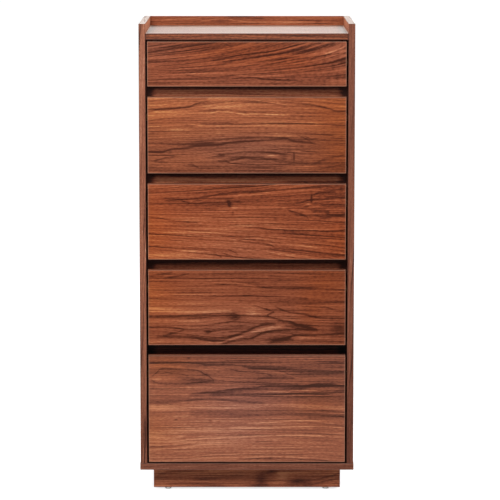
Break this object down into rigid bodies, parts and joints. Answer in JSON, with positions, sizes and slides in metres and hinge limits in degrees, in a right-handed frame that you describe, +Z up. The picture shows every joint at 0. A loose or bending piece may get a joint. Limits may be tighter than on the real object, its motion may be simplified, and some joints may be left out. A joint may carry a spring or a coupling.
{
  "type": "tall chest of drawers",
  "caption": "Tall narrow walnut chest of drawers: inset handleless drawers pulled by finger gaps, low gallery round the top, recessed plinth on glides.",
  "frame": {"origin": "on the floor under the middle of the case", "axes": "+Z up, -Y out of the drawer fronts, +X to the right as seen from the front"},
  "size_m": [0.547, 0.4, 1.2],
  "materials": {
    "drawer_front": "satin walnut veneer, grain along the width",
    "case_side": "satin walnut veneer, grain upright",
    "case_top": "satin walnut veneer, grain along the width",
    "case_edge": "satin walnut veneer, grain along the width",
    "front_rail": "satin walnut veneer, grain along the width",
    "plinth": "satin walnut veneer, grain along the length",
    "back_board": "matt thin board",
    "drawer_box": "matt pale solid wood",
    "drawer_bottom": "matt pale plywood",
    "runner": "waxed hardwood",
    "plinth_block": "raw softwood",
    "glide": "moulded nylon",
    "fastener": "zinc-plated steel screws and cam fittings"
  },
  "bodies": {
    "carcass": {"left_side_panel": "case_side", "right_side_panel": "case_side", "top_panel": "case_top", "bottom_panel": "case_edge", "back_panel": "back_board", "gallery_back_rail": "case_top", "front_rail_1": "front_rail", "front_rail_2": "front_rail", "front_rail_3": "front_rail", "front_rail_4": "front_rail", "plinth_front_board": "plinth", "plinth_back_board": "plinth", "plinth_left_board": "plinth", "plinth_right_board": "plinth", "plinth_block_front_left": "plinth_block", "plinth_block_front_right": "plinth_block", "plinth_block_back_right": "plinth_block", "plinth_block_back_left": "plinth_block", "glide_front_left": "glide", "glide_front_right": "glide", "glide_back_left": "glide", "glide_back_right": "glide", "runner_1_left": "runner", "runner_1_right": "runner", "runner_2_left": "runner", "runner_2_right": "runner", "runner_3_left": "runner", "runner_3_right": "runner", "runner_4_left": "runner", "runner_4_right": "runner", "runner_5_left": "runner", "runner_5_right": "runner"},
    "drawer_1": {"drawer_1_front": "drawer_front", "drawer_1_left_side": "drawer_box", "drawer_1_right_side": "drawer_box", "drawer_1_back": "drawer_box", "drawer_1_bottom": "drawer_bottom"},
    "drawer_2": {"drawer_2_front": "drawer_front", "drawer_2_left_side": "drawer_box", "drawer_2_right_side": "drawer_box", "drawer_2_back": "drawer_box", "drawer_2_bottom": "drawer_bottom"},
    "drawer_3": {"drawer_3_front": "drawer_front", "drawer_3_left_side": "drawer_box", "drawer_3_right_side": "drawer_box", "drawer_3_back": "drawer_box", "drawer_3_bottom": "drawer_bottom"},
    "drawer_4": {"drawer_4_front": "drawer_front", "drawer_4_left_side": "drawer_box", "drawer_4_right_side": "drawer_box", "drawer_4_back": "drawer_box", "drawer_4_bottom": "drawer_bottom"},
    "drawer_5": {"drawer_5_front": "drawer_front", "drawer_5_left_side": "drawer_box", "drawer_5_right_side": "drawer_box", "drawer_5_back": "drawer_box", "drawer_5_bottom": "drawer_bottom"}
  },
  "joints": [
    {"name": "drawer_1_slide", "type": "slide", "parent": "carcass", "child": "drawer_1", "axis": [0, -1, 0], "range_m": [0, 0.25]},
    {"name": "drawer_2_slide", "type": "slide", "parent": "carcass", "child": "drawer_2", "axis": [0, -1, 0], "range_m": [0, 0.25]},
    {"name": "drawer_3_slide", "type": "slide", "parent": "carcass", "child": "drawer_3", "axis": [0, -1, 0], "range_m": [0, 0.25]},
    {"name": "drawer_4_slide", "type": "slide", "parent": "carcass", "child": "drawer_4", "axis": [0, -1, 0], "range_m": [0, 0.25]},
    {"name": "drawer_5_slide", "type": "slide", "parent": "carcass", "child": "drawer_5", "axis": [0, -1, 0], "range_m": [0, 0.25]}
  ]
}
